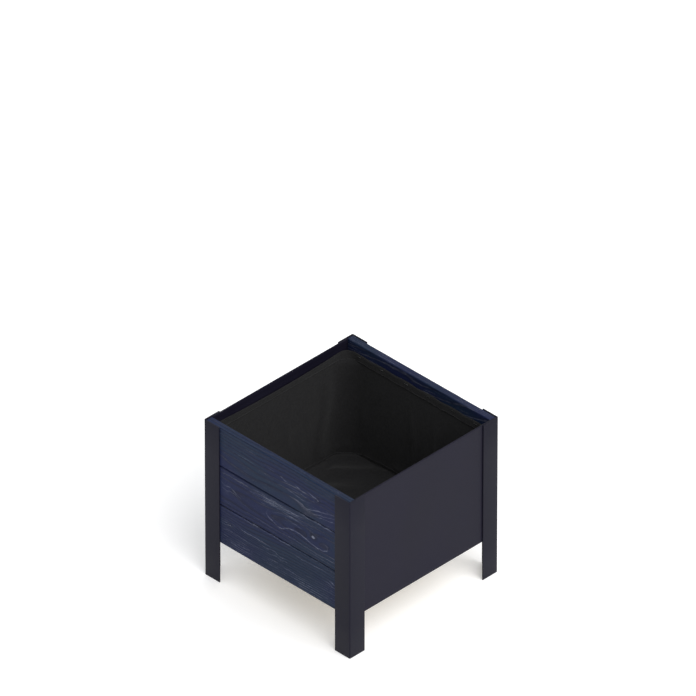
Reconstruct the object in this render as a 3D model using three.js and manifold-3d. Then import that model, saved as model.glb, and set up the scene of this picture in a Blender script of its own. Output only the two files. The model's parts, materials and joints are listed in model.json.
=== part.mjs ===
// A raised planter on four legs: two timber sides and two sheet-steel sides between
// folded steel corner legs, a slatted base and a felt liner.
// Millimetres, +Z up. The origin is on the ground, in the middle of the planter.
// The timber sides face -Y (front) and +Y (rear); the steel sides face +X (right) and -X (left).
import * as THREE from 'three';
import { mergeVertices } from 'three/addons/utils/BufferGeometryUtils.js';
import Module from 'manifold-3d';

const wasm = await Module();
wasm.setup();

// ---------------------------------------------------------------- driving dimensions
const OUTSIDE_X = 486; // over the steel sides
const OUTSIDE_Y = 497.5; // over the timber sides
const HEIGHT = 450; // ground to the top of the legs
const GAP = 0.3; // assembly clearance between touching pieces

const LEG_WIDTH = 50; // each flange of the corner angle
const LEG_STEEL = 3;
const LEG_BEND = 3.5; // outside bend radius

const SHEET = 1.5; // side panel thickness
const PANEL_FOOT = 109; // lower edge of the steel sides
const RETURN_DEPTH = 26; // shelf folded in at the panel's foot, which carries the slats
const HEM_DEPTH = 12; // safe edge folded down inside the panel's top
const HEM_SLOT = 0.5;
const FOLD = 2.5; // outside bend radius of the sheet

const BOARDS_PER_SIDE = 3;
const BOARD_COVER = 111.5; // height that one board adds to the stack
const BOARD_THICK = 19;
const BOARD_FOOT = 115; // lower edge of the timber sides
const TONGUE = { width: 6, height: 6.5 };
const GROOVE = { width: 6.8, depth: 7.2 };
const V_JOINT = 2.5; // bevel that makes the V between two boards
const ARRIS = 2; // rounding of the free edges

const SLATS = 5;
const SLAT = { width: 82, thick: 16, gap: 10 };

const THREAD = 6; // M6 weld studs
const WOOD_STUD = { length: 28, inset: 25 }; // inset: from the planter's outside corner
const STEEL_STUD = { length: 11, inset: 42.3, heights: [200, 370] };
const WASHER = { outer: 18, thick: 1.6 };
const NUT = { flats: 10, height: 5, flange: 14, flangeThick: 1.6 };
const SCREW = { shank: 3.6, length: 14, head: 8, headHeight: 2.4, fromWeb: 13 };

const FELT = 1.8;
const LINER = { top: 425, hem: 20, lowRadius: 60, topRadius: 24, blend: [402, 408] };

const ROUND = 12; // sides of a small cylinder

// ---------------------------------------------------------------- derived planes
const halfX = OUTSIDE_X / 2;
const halfY = OUTSIDE_Y / 2;
const webOuter = halfX - LEG_STEEL - GAP; // outer face of a steel panel
const webInner = webOuter - SHEET;
const webHalfWidth = halfY - LEG_STEEL - GAP;
const boardOuter = halfY - LEG_STEEL - GAP; // outer face of a timber side
const boardInner = boardOuter - BOARD_THICK;
const boardHalfLength = webInner - GAP;
const slatFoot = PANEL_FOOT + SHEET + GAP;
const slatTop = slatFoot + SLAT.thick;
const woodStudX = halfX - WOOD_STUD.inset;
const steelStudY = halfY - STEEL_STUD.inset;
const boardMiddles = Array.from(
  { length: BOARDS_PER_SIDE },
  (_, i) => BOARD_FOOT + BOARD_COVER * (i + 0.5),
);
const slatMiddles = Array.from(
  { length: SLATS },
  (_, i) => (i - (SLATS - 1) / 2) * (SLAT.width + SLAT.gap),
);

// ---------------------------------------------------------------- materials
const finish = (color, roughness, metalness) =>
  new THREE.MeshStandardMaterial({ color, roughness, metalness });
const legCoating = finish(0x2f2e37, 0.55, 0.3);
const panelCoating = finish(0x34323e, 0.5, 0.3);
const stainedBoard = finish(0x32394d, 0.7, 0);
const bareSlat = finish(0x9a8558, 0.8, 0);
const linerFelt = finish(0x17181a, 0.95, 0);
const zinc = finish(0xa9adb0, 0.35, 1);

// ---------------------------------------------------------------- solid helpers
function solid(geometry) {
  const bare = geometry.index ? geometry.toNonIndexed() : geometry.clone();
  bare.deleteAttribute('normal');
  bare.deleteAttribute('uv');
  const merged = mergeVertices(bare, 1e-4);
  return new wasm.Manifold(new wasm.Mesh({
    numProp: 3,
    vertProperties: merged.attributes.position.array,
    triVerts: new Uint32Array(merged.index.array),
  }));
}

function geometryOf(manifold) {
  const mesh = manifold.getMesh();
  const geometry = new THREE.BufferGeometry();
  geometry.setAttribute('position', new THREE.BufferAttribute(mesh.vertProperties, 3));
  geometry.setIndex(new THREE.BufferAttribute(mesh.triVerts, 1));
  geometry.computeVertexNormals();
  return geometry;
}

const join = (first, ...rest) =>
  geometryOf(rest.reduce((whole, g) => whole.add(solid(g)), solid(first)));
const cut = (body, ...cutters) =>
  geometryOf(cutters.reduce((left, g) => left.subtract(solid(g)), solid(body)));
const common = (a, b) => geometryOf(solid(a).intersect(solid(b)));

function box(low, high) {
  const [a, b] = [new THREE.Vector3(...low), new THREE.Vector3(...high)];
  const size = b.clone().sub(a);
  const middle = a.clone().add(b).multiplyScalar(0.5);
  return new THREE.BoxGeometry(size.x, size.y, size.z).translate(...middle.toArray());
}

// A cylinder of the given radius between two points.
function rod(radius, from, to, sides = ROUND) {
  const [a, b] = [new THREE.Vector3(...from), new THREE.Vector3(...to)];
  const along = b.clone().sub(a);
  const turn = new THREE.Quaternion().setFromUnitVectors(
    new THREE.Vector3(0, 1, 0), along.clone().normalize());
  const middle = a.clone().add(b).multiplyScalar(0.5);
  return new THREE.CylinderGeometry(radius, radius, along.length(), sides)
    .applyQuaternion(turn)
    .translate(...middle.toArray());
}

const extrude = (shape, depth, curveSegments = 3) =>
  new THREE.ExtrudeGeometry(shape, { depth, bevelEnabled: false, curveSegments });

// A profile drawn as (depth in from the outer face, height), swept along a side. Its outer
// face lands on the plane at `outer`, and `half` is half its length.
function alongX(shape, outer, half) { // the outer face looks to -Y
  const basis = new THREE.Matrix4().makeBasis(
    new THREE.Vector3(0, 1, 0), new THREE.Vector3(0, 0, 1), new THREE.Vector3(1, 0, 0));
  return extrude(shape, 2 * half).applyMatrix4(basis).translate(-half, -outer, 0);
}

function alongY(shape, outer, half) { // the outer face looks to +X
  const basis = new THREE.Matrix4().makeBasis(
    new THREE.Vector3(-1, 0, 0), new THREE.Vector3(0, 0, 1), new THREE.Vector3(0, 1, 0));
  return extrude(shape, 2 * half).applyMatrix4(basis).translate(outer, -half, 0);
}

const planter = new THREE.Group();

function part(name, geometry, material, parent = planter) {
  const mesh = new THREE.Mesh(geometry, material);
  mesh.name = name;
  parent.add(mesh);
  return mesh;
}

// ---------------------------------------------------------------- timber sides
// One board's profile: V-joint bevels on the outer face, tongue on top and groove below.
// The top board has no tongue and the bottom board no groove.
function boardProfile(foot, hasTongue, hasGroove) {
  const head = foot + BOARD_COVER - GAP;
  const tongueIn = (BOARD_THICK - TONGUE.width) / 2;
  const tongueOut = tongueIn + TONGUE.width;
  const grooveIn = (BOARD_THICK - GROOVE.width) / 2;
  const grooveOut = grooveIn + GROOVE.width;
  const shape = new THREE.Shape();
  if (hasGroove) {
    shape.moveTo(V_JOINT, foot);
    shape.lineTo(grooveIn, foot);
    shape.lineTo(grooveIn, foot + GROOVE.depth);
    shape.lineTo(grooveOut, foot + GROOVE.depth);
    shape.lineTo(grooveOut, foot);
    shape.lineTo(BOARD_THICK, foot);
  } else {
    shape.moveTo(ARRIS, foot);
    shape.lineTo(BOARD_THICK - ARRIS, foot);
    shape.absarc(BOARD_THICK - ARRIS, foot + ARRIS, ARRIS, -Math.PI / 2, 0);
  }
  if (hasTongue) {
    shape.lineTo(BOARD_THICK, head);
    shape.lineTo(tongueOut, head);
    shape.lineTo(tongueOut, head + TONGUE.height);
    shape.lineTo(tongueIn, head + TONGUE.height);
    shape.lineTo(tongueIn, head);
    shape.lineTo(V_JOINT, head);
    shape.lineTo(0, head - V_JOINT);
  } else {
    shape.absarc(BOARD_THICK - ARRIS, head - ARRIS, ARRIS, 0, Math.PI / 2);
    shape.absarc(ARRIS, head - ARRIS, ARRIS, Math.PI / 2, Math.PI);
  }
  if (hasGroove) {
    shape.lineTo(0, foot + V_JOINT);
  } else {
    shape.absarc(ARRIS, foot + ARRIS, ARRIS, Math.PI, 1.5 * Math.PI);
  }
  return shape;
}

function board(level) {
  const foot = BOARD_FOOT + level * BOARD_COVER;
  const profile = boardProfile(foot, level < BOARDS_PER_SIDE - 1, level > 0);
  const holes = [-1, 1].map((side) => rod(
    THREAD / 2 + 0.5,
    [side * woodStudX, -boardOuter - 1, boardMiddles[level]],
    [side * woodStudX, -boardInner + 1, boardMiddles[level]],
  ));
  return cut(alongX(profile, boardOuter, boardHalfLength), ...holes);
}

const levels = ['bottom', 'middle', 'top'];
for (const [side, turn] of [['front', 0], ['rear', Math.PI]]) {
  const timberSide = new THREE.Group();
  timberSide.rotation.z = turn;
  planter.add(timberSide);
  levels.forEach((name, level) =>
    part(`${side}_board_${name}`, board(level), stainedBoard, timberSide));
}

// ---------------------------------------------------------------- steel sides
// The sheet's section: web, shelf folded in at the foot and safe edge at the head.
function panelProfile() {
  const inner = FOLD - SHEET;
  const hemOut = 2 * SHEET + HEM_SLOT;
  const hemRadius = hemOut / 2;
  const hemCentre = HEIGHT - hemRadius;
  const shape = new THREE.Shape();
  shape.moveTo(FOLD, PANEL_FOOT);
  shape.lineTo(RETURN_DEPTH, PANEL_FOOT);
  shape.lineTo(RETURN_DEPTH, PANEL_FOOT + SHEET);
  shape.lineTo(FOLD, PANEL_FOOT + SHEET);
  shape.absarc(FOLD, PANEL_FOOT + FOLD, inner, -Math.PI / 2, Math.PI, true);
  shape.lineTo(SHEET, hemCentre);
  shape.absarc(hemRadius, hemCentre, HEM_SLOT / 2, Math.PI, 0, true);
  shape.lineTo(SHEET + HEM_SLOT, HEIGHT - HEM_DEPTH);
  shape.lineTo(hemOut, HEIGHT - HEM_DEPTH);
  shape.lineTo(hemOut, hemCentre);
  shape.absarc(hemRadius, hemCentre, hemRadius, 0, Math.PI);
  shape.lineTo(0, PANEL_FOOT + FOLD);
  shape.absarc(FOLD, PANEL_FOOT + FOLD, FOLD, Math.PI, 1.5 * Math.PI);
  return shape;
}

function panel() {
  const sheet = alongY(panelProfile(), webOuter, webHalfWidth);
  const hemCuts = [-1, 1].map((end) => { // room for the ends of the top boards
    const [near, far] = [end * (boardInner - 1), end * (webHalfWidth + 1)].sort((a, b) => a - b);
    return box(
      [webInner - 4, near, HEIGHT - HEM_DEPTH - 1],
      [webInner + SHEET / 50, far, HEIGHT + 1],
    );
  });
  const studHoles = STEEL_STUD.heights.flatMap((z) => [-1, 1].map((end) => rod(
    THREAD / 2 + 0.5, [webInner - 1, end * steelStudY, z], [webOuter + 1, end * steelStudY, z])));
  const screwHoles = slatMiddles.map((y) => rod(
    SCREW.shank / 2 + 0.5,
    [webInner - SCREW.fromWeb, y, PANEL_FOOT - 1],
    [webInner - SCREW.fromWeb, y, PANEL_FOOT + SHEET + 1],
  ));
  return cut(sheet, ...hemCuts, ...studHoles, ...screwHoles);
}

const steelSides = [['right', 0], ['left', Math.PI]].map(([side, turn]) => {
  const steelSide = new THREE.Group();
  steelSide.rotation.z = turn;
  planter.add(steelSide);
  part(`${side}_steel_panel`, panel(), panelCoating, steelSide);
  return [side, steelSide];
});

// ---------------------------------------------------------------- base slats and screws
function slat(y) {
  const [half, low, high, r] = [SLAT.width / 2, slatFoot, slatTop, ARRIS];
  const shape = new THREE.Shape();
  shape.absarc(half - r, low + r, r, -Math.PI / 2, 0);
  shape.absarc(half - r, high - r, r, 0, Math.PI / 2);
  shape.absarc(-half + r, high - r, r, Math.PI / 2, Math.PI);
  shape.absarc(-half + r, low + r, r, Math.PI, 1.5 * Math.PI);
  const length = 2 * (webInner - 1.7);
  const plank = alongX(shape, 0, length / 2).translate(0, y, 0);
  const pilots = [-1, 1].map((end) => rod(
    SCREW.shank / 2 + GAP,
    [end * (webInner - SCREW.fromWeb), y, low - 1],
    [end * (webInner - SCREW.fromWeb), y, PANEL_FOOT + SCREW.length + 1],
  ));
  return cut(plank, ...pilots);
}
slatMiddles.forEach((y, i) => part(`base_slat_${i + 1}`, slat(y), bareSlat));

// A pan-head screw, head down, with a cross recess; its head bears on z = 0.
function slatScrew() {
  const { shank, length, head, headHeight } = SCREW;
  const profile = [
    [0, -headHeight], [head * 0.3, -headHeight], [head * 0.46, -headHeight * 0.6],
    [head / 2, 0], [shank / 2, 0],
    [shank / 2, length - 3], [0, length],
  ].map(([r, z]) => new THREE.Vector2(r, z));
  const body = new THREE.LatheGeometry(profile, ROUND).rotateX(Math.PI / 2);
  const arm = 2.1;
  const slot = 0.45;
  const low = -headHeight - 1;
  const deep = -headHeight + 1.3;
  return cut(
    body,
    box([-arm, -slot, low], [arm, slot, deep]),
    box([-slot, -arm, low], [slot, arm, deep]),
  );
}
for (const [side, steelSide] of steelSides) {
  slatMiddles.forEach((y, i) => {
    const screw = part(`slat_screw_${side}_${i + 1}`, slatScrew(), zinc, steelSide);
    screw.position.set(webInner - SCREW.fromWeb, y, PANEL_FOOT - GAP);
  });
}

// ---------------------------------------------------------------- corner legs
// A folded angle with its weld studs, drawn for the corner at +X +Y.
function leg() {
  const { PI } = Math;
  const bendIn = LEG_BEND - LEG_STEEL;
  const [cx, cy] = [halfX - LEG_BEND, halfY - LEG_BEND];
  const shape = new THREE.Shape();
  shape.moveTo(halfX - LEG_WIDTH, halfY);
  shape.lineTo(halfX - LEG_WIDTH, halfY - LEG_STEEL);
  shape.lineTo(cx, halfY - LEG_STEEL);
  shape.absarc(cx, cy, bendIn, PI / 2, 0, true);
  shape.lineTo(halfX - LEG_STEEL, halfY - LEG_WIDTH);
  shape.lineTo(halfX, halfY - LEG_WIDTH);
  shape.lineTo(halfX, cy);
  shape.absarc(cx, cy, LEG_BEND, 0, PI / 2);
  const root = 0.5; // how far a stud's weld runs into the flange
  const woodStuds = boardMiddles.map((z) => rod(
    THREAD / 2,
    [woodStudX, halfY - LEG_STEEL + root, z],
    [woodStudX, halfY - LEG_STEEL - WOOD_STUD.length, z],
  ));
  const steelStuds = STEEL_STUD.heights.map((z) => rod(
    THREAD / 2,
    [halfX - LEG_STEEL + root, steelStudY, z],
    [halfX - LEG_STEEL - STEEL_STUD.length, steelStudY, z],
  ));
  return join(extrude(shape, HEIGHT), ...woodStuds, ...steelStuds);
}

// ---------------------------------------------------------------- nuts and washers
const circle = (radius) => new THREE.Shape().absarc(0, 0, radius, 0, 2 * Math.PI);
const bore = THREAD / 2 + GAP;

function washer() {
  const ring = circle(WASHER.outer / 2);
  ring.holes.push(circle(bore));
  return extrude(ring, WASHER.thick, 8);
}

// A hexagon nut standing on z = 0 with chamfered corners; a flange nut adds a round foot.
function nut(flanged) {
  const across = NUT.flats / Math.sqrt(3);
  const hexagon = new THREE.Shape(Array.from({ length: 6 }, (_, i) =>
    new THREE.Vector2(across, 0).rotateAround(new THREE.Vector2(), (i * Math.PI) / 3)));
  const crown = new THREE.CylinderGeometry(NUT.flats * 0.48, NUT.flats * 0.48 + NUT.height * 1.7,
    NUT.height, 18).rotateX(Math.PI / 2).translate(0, 0, NUT.height / 2);
  const body = common(extrude(hexagon, NUT.height), crown);
  const foot = rod(NUT.flange / 2, [0, 0, 0], [0, 0, NUT.flangeThick], 16);
  const hole = rod(bore, [0, 0, -1], [0, 0, NUT.height + 1]);
  return cut(flanged ? join(body, foot) : body, hole);
}

const towardMinusY = Math.PI / 2; // about X: +Z turns to -Y
const towardMinusX = -Math.PI / 2; // about Y: +Z turns to -X

for (const [frontRear, sy] of [['front', -1], ['rear', 1]]) {
  for (const [leftRight, sx] of [['left', -1], ['right', 1]]) {
    const corner = new THREE.Group();
    corner.scale.set(sx, sy, 1);
    planter.add(corner);
    const name = `${frontRear}_${leftRight}`;
    part(`${name}_leg`, leg(), legCoating, corner);
    levels.forEach((level, i) => {
      const w = part(`${name}_washer_${level}`, washer().rotateX(towardMinusY), zinc, corner);
      w.position.set(woodStudX, boardInner - GAP, boardMiddles[i]);
      const n = part(`${name}_nut_${level}`, nut(false).rotateX(towardMinusY), zinc, corner);
      n.position.set(woodStudX, boardInner - WASHER.thick - 2 * GAP, boardMiddles[i]);
    });
    STEEL_STUD.heights.forEach((z, i) => {
      const which = ['lower', 'upper'][i];
      const n = part(`${name}_flange_nut_${which}`, nut(true).rotateY(towardMinusX), zinc, corner);
      n.position.set(webInner - GAP, steelStudY, z);
    });
  }
}

// ---------------------------------------------------------------- felt liner
// Points of a rounded rectangle, anticlockwise.
function roundedRing(hx, hy, radius, z) {
  const points = [];
  const steps = 6;
  for (let quarter = 0; quarter < 4; quarter += 1) {
    const sx = quarter === 0 || quarter === 3 ? 1 : -1;
    const sy = quarter < 2 ? 1 : -1;
    for (let i = 0; i <= steps; i += 1) {
      const a = (quarter + i / steps) * (Math.PI / 2);
      points.push([
        sx * (hx - radius) + radius * Math.cos(a),
        sy * (hy - radius) + radius * Math.sin(a),
        z,
      ]);
    }
  }
  return points;
}

// A skin through a stack of rings, closed by a fan at each end.
function stackedRings(rings) {
  const n = rings[0].length;
  const first = [0, 0, rings[0][0][2]];
  const last = [0, 0, rings[rings.length - 1][0][2]];
  const positions = new Float32Array([first, ...rings.flat(), last].flat());
  const at = (ring, i) => 1 + ring * n + (i % n);
  const end = 1 + rings.length * n;
  const faces = [];
  for (let i = 0; i < n; i += 1) {
    faces.push(0, at(0, i + 1), at(0, i));
    for (let r = 0; r < rings.length - 1; r += 1) {
      faces.push(at(r, i), at(r, i + 1), at(r + 1, i + 1));
      faces.push(at(r, i), at(r + 1, i + 1), at(r + 1, i));
    }
    faces.push(end, at(rings.length - 1, i), at(rings.length - 1, i + 1));
  }
  const geometry = new THREE.BufferGeometry();
  geometry.setAttribute('position', new THREE.BufferAttribute(positions, 3));
  geometry.setIndex(faces);
  return geometry;
}

// The bag stands on the slats, rounds the nuts in the corners and fills out above them.
function linerBag() {
  const [hx, hy] = [webInner - 2 * GAP, boardInner - 2 * GAP];
  const foot = slatTop + GAP;
  const [low, high] = LINER.blend;
  const { lowRadius, topRadius, top, hem } = LINER;
  const ring = (inset, radius, z) => roundedRing(hx - inset, hy - inset, radius - inset, z);
  const bottomRound = 5;
  return stackedRings([
    ring(bottomRound, lowRadius, foot),
    ring(0, lowRadius, foot + bottomRound),
    ring(0, lowRadius, low),
    ring(0, topRadius, high),
    ring(0, topRadius, top),
    ring(2 * FELT, topRadius, top),
    ring(2 * FELT, topRadius, top - hem),
    ring(FELT, topRadius, top - hem),
    ring(FELT, lowRadius, low - FELT),
    ring(FELT, lowRadius, foot + bottomRound),
    ring(FELT + bottomRound, lowRadius, foot + FELT),
  ]);
}
part('liner', linerBag(), linerFelt);

export default planter;
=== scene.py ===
"""The looks of a raised planter on legs: stained boards, powder-coated steel and a felt liner.

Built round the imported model. Lengths are in millimetres unless a name ends in _M, and they become
metres when a mesh is made.
"""
import json
import math
from dataclasses import dataclass

import bpy
import numpy as np
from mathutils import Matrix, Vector

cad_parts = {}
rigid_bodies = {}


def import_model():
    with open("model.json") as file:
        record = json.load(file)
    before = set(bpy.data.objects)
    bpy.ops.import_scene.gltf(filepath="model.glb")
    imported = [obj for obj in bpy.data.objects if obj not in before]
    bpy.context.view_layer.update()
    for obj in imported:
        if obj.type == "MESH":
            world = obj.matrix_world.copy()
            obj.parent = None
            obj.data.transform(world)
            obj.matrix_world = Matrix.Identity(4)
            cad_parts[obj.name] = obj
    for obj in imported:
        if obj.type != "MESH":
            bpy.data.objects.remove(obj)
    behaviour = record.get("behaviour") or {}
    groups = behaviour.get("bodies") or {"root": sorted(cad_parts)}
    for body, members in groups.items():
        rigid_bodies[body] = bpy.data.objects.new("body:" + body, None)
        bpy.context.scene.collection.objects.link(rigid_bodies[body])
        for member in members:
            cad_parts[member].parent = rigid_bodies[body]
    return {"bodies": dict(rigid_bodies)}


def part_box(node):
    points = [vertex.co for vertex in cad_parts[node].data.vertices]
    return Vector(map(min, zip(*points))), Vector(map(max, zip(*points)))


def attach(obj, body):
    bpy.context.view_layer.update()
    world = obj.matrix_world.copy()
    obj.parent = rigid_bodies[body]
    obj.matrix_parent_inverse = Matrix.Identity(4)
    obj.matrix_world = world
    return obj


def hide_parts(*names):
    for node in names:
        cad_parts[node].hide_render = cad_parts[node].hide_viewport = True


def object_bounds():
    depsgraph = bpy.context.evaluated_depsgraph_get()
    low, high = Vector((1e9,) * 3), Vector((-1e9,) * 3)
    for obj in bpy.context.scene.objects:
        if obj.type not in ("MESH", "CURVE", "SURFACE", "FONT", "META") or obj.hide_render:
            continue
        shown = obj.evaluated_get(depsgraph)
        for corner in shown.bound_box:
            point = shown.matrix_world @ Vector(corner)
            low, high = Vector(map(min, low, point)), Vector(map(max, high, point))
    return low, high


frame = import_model()
cad_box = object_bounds()

MM = 0.001
TAU = 2 * math.pi
(BODY,) = frame["bodies"]  # nothing on the planter moves, so there is one body
HALF_X = cad_box[1][0] / MM
HALF_Y = cad_box[1][1] / MM
LEVELS = ("bottom", "middle", "top")
SLATS = range(1, 6)
SIDES = {"front": 1, "rear": -1}  # 1 faces -Y as drawn, -1 is turned half round
STEEL_SIDES = {"right": 1, "left": -1}  # 1 faces +X as drawn, -1 is turned half round
CORNERS = {
    f"{depth}_{width}": (sx, sy)
    for depth, sy in (("front", -1), ("rear", 1))
    for width, sx in (("left", -1), ("right", 1))
}


def box_mm(node):
    """The lowest and highest corners of a CAD node, in millimetres."""
    low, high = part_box(node)
    return np.array(low) / MM, np.array(high) / MM


# ---- camera and light
LENS = 894.0  # a long lens, for a nearly parallel view
DISTANCE_M = 40.92
AZIMUTH, ELEVATION = 44.878, 35.136
TARGET_M = (0.0, 0.0, 0.2236)
RIGHT_M, ABOVE_M = -0.0076, 0.3507  # how far the middle of the view lies from the target
SKY_COLOUR, SKY_STRENGTH = (0.97, 0.985, 1.0, 1), 0.47
LIGHTS = (  # name, azimuth, elevation, strength, spread in degrees, colour
    ("key", 84, 48, 2.45, 55, (1.0, 0.99, 0.985)),
    ("fill", -35, 40, 0.1, 90, (0.95, 0.97, 1.0)),
    ("back", 218, 28, 0.8, 60, (0.98, 0.99, 1.0)),
)


def direction(azimuth, elevation):
    """The way from the planter to a viewer or light: azimuth 0 is -Y and 90 is +X, in degrees."""
    a, e = math.radians(azimuth), math.radians(elevation)
    return Vector((math.sin(a) * math.cos(e), -math.cos(a) * math.cos(e), math.sin(e)))


def aimed(name, data, back):
    """A camera or light that looks against back."""
    made = bpy.data.objects.new(name, data)
    made.rotation_mode = "QUATERNION"
    made.rotation_quaternion = (-back).to_track_quat("-Z", "Y")
    bpy.context.collection.objects.link(made)
    return made


def make_camera():
    back = direction(AZIMUTH, ELEVATION)
    right = direction(AZIMUTH + 90, 0)
    up = back.cross(right)
    data = bpy.data.cameras.new("camera")
    data.lens = LENS
    data.clip_start = 1
    data.clip_end = 300
    camera = aimed("camera", data, back)
    camera.location = Vector(TARGET_M) + right * RIGHT_M + up * ABOVE_M + back * DISTANCE_M
    bpy.context.scene.camera = camera


def make_studio():
    world = bpy.data.worlds.new("studio")
    bpy.context.scene.world = world
    world.use_nodes = True
    sky = world.node_tree.nodes["Background"]
    sky.inputs["Color"].default_value = SKY_COLOUR
    sky.inputs["Strength"].default_value = SKY_STRENGTH
    for name, azimuth, elevation, strength, spread, colour in LIGHTS:
        sun = bpy.data.lights.new(name, "SUN")
        sun.energy = strength
        sun.angle = math.radians(spread)
        sun.color = colour
        aimed(name, sun, direction(azimuth, elevation))
    bpy.context.scene.view_settings.view_transform = "Standard"


# ---- node-tree shorthand
class Shade:
    """A material being built. Its methods return output sockets."""

    def __init__(self, name):
        self.material = bpy.data.materials.new(name)
        self.material.use_nodes = True
        self.tree = self.material.node_tree
        self.shader = self.tree.nodes["Principled BSDF"]
        self.place = self.add("ShaderNodeTexCoord").outputs["Object"]

    def add(self, kind, inputs=None, **settings):
        """The new node, with its inputs given by name or number."""
        made = self.tree.nodes.new(kind)
        for key, value in settings.items():
            setattr(made, key, value)
        for key, value in (inputs or {}).items():
            self.put(made.inputs[key], value)
        return made

    def put(self, socket, value):
        if isinstance(value, bpy.types.NodeSocket):
            self.tree.links.new(value, socket)
        else:
            socket.default_value = value

    def maths(self, operation, first, *others):
        """Joins the first value with each of the others in turn."""
        for other in others:
            first = self.add("ShaderNodeMath", {0: first, 1: other}, operation=operation).outputs[0]
        return first

    def times(self, *values):
        return self.maths("MULTIPLY", *values)

    def between(self, value, start, end, low=0.0, high=1.0):
        """low where value is start or under, high where it is end or over, smooth in between."""
        inputs = {0: value, 1: start, 2: end, 3: low, 4: high}
        return self.add("ShaderNodeMapRange", inputs, interpolation_type="SMOOTHSTEP").outputs[0]

    def blend(self, share, a, b):
        """Colour a where share is 0, and b where it is 1."""
        inputs = {0: share, 6: opaque(a), 7: opaque(b)}
        return self.add("ShaderNodeMix", inputs, data_type="RGBA").outputs[2]

    def noise(self, stretch, detail=3.0, roughness=0.5, twist=0.0):
        """Noise with stretch features per metre along each axis."""
        mapping = self.add("ShaderNodeMapping", {"Vector": self.place, "Scale": stretch})
        return self.add("ShaderNodeTexNoise", {
            "Vector": mapping.outputs[0], "Scale": 1.0, "Detail": detail,
            "Roughness": roughness, "Distortion": twist}).outputs[0]

    def attribute(self, name):
        return self.add("ShaderNodeAttribute", attribute_name=name).outputs["Fac"]

    def bump(self, height, depth, under=None):
        inputs = {"Strength": 1.0, "Distance": depth * MM, "Height": height}
        if under is not None:
            inputs["Normal"] = under
        return self.add("ShaderNodeBump", inputs).outputs[0]

    def finish(self, **sockets):
        for name, value in sockets.items():
            self.put(self.shader.inputs[name.replace("_", " ")], opaque(value))
        return self.material


def opaque(colour):
    """A colour with its alpha. Anything else stays as it is."""
    return (*colour, 1) if isinstance(colour, tuple) else colour


def brighter(colour, times, plus=0.0):
    return tuple(times * c + plus for c in colour)


# ---- materials
def powder_coat(name, colour):
    """Fine-textured polyester powder coat with faint dust and handling marks."""
    s = Shade(name)
    cloud = s.noise((7, 7, 5), 4)
    speck = s.noise((900, 900, 900), 2)
    tint = s.blend(s.between(cloud, 0.3, 0.7), colour, brighter(colour, 1.22, 0.001))
    tint = s.blend(s.between(speck, 0.62, 0.8, 0, 0.35), tint, brighter(colour, 1.7))
    texture = s.bump(s.noise((620, 620, 620), 2), 0.08)
    texture = s.bump(speck, 0.04, texture)
    rough = s.between(cloud, 0.25, 0.75, 0.46, 0.56)
    return s.finish(
        Base_Color=tint, Roughness=rough, Normal=texture, Specular_IOR_Level=0.105)


def wood(name, early, late, line, rough, gloss):
    """Brushed softwood. The mesh carries 'turns', the growth rings crossed since the pith,
    'knot', the distance from the nearest knot's edge in mm, 'pale', how far brushing has bared
    the late growth, 'stroke_and_highlight', single bared growth lines and painted highlights
    along the upper chamfers of two front boards, and 'dark', where stain has collected round
    knots, and deep in the V-joints, where it is part stain and part painted shade."""
    s = Shade(name)
    knot = s.attribute("knot")
    pale = s.attribute("pale")
    fibre = s.noise((14, 420, 420), 4, 0.6)
    fine = s.noise((60, 1500, 1500), 3, 0.65)
    crumb = s.noise((170, 800, 800), 4, 0.7)
    patch = s.noise((9, 30, 30), 3)
    drift = s.noise((4, 9, 9), 3)
    in_knot = s.between(knot, -0.5, 0.5, 1, 0)
    turn = s.maths("FRACT", s.maths("ADD", s.attribute("turns"), s.times(fibre, 0.2)), 0.0)
    summer = s.times(s.between(turn, 0.45, 0.9), s.between(turn, 0.955, 1.0, 1, 0))

    crest = s.times(
        s.between(turn, 0.70, 0.84), s.between(turn, 0.90, 0.97, 1, 0),
        s.between(patch, 0.38, 0.62), s.between(fine, 0.36, 0.60), pale)
    heart = s.times(s.between(knot, -2.2, -0.6, 1, 0), in_knot, pale, 0.8)
    stroke_and_highlight = s.times(
        s.attribute("stroke_and_highlight"), s.between(fine, 0.32, 0.60, 0.3, 1), s.between(crumb, 0.36, 0.56))
    scratch = s.times(
        s.between(fibre, 0.58, 0.70), s.maths("ADD", pale, 0.25),
        s.between(crumb, 0.42, 0.6, 0, 0.75))
    streak = s.maths("MAXIMUM", crest, stroke_and_highlight, heart, scratch)

    tint = s.blend(s.between(drift, 0.38, 0.62), *early)
    tint = s.blend(s.times(summer, 0.75), tint, late)
    tint = s.blend(s.between(fibre, 0.5, 0.72, 0, 0.45), tint, late)
    tint = s.blend(s.times(in_knot, 0.6), tint, late)
    tint = s.blend(s.attribute("dark"), tint, brighter(late, 0.3))
    tint = s.blend(streak, tint, line)
    grain = s.bump(s.maths("ADD", summer, s.times(fine, 0.7), s.times(fibre, 1.2)), 0.2)
    shine = s.between(fine, 0.3, 0.7, rough - 0.06, rough + 0.06)
    return s.finish(
        Base_Color=tint, Roughness=shine, Normal=grain, Specular_IOR_Level=gloss)


def felt(name, colour):
    """Needled felt: short fibres lying every way, over a slightly lumpy mat."""
    s = Shade(name)
    fluff = s.noise((520, 520, 520), 6, 0.75, 3.5)
    mat = s.noise((95, 95, 95), 4, 0.6, 1.0)
    lump = s.noise((22, 22, 22), 3)
    tint = s.blend(s.between(fluff, 0.42, 0.72), colour, brighter(colour, 4.5))
    tint = s.blend(s.between(mat, 0.4, 0.7, 0, 0.5), tint, brighter(colour, 2.2))
    nap = s.bump(s.times(lump, 4), 0.5)
    nap = s.bump(mat, 0.9, nap)
    nap = s.bump(fluff, 0.55, nap)
    return s.finish(
        Base_Color=tint, Roughness=1.0, Normal=nap, Specular_IOR_Level=0.12,
        Sheen_Weight=0.05, Sheen_Roughness=0.6)


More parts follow.
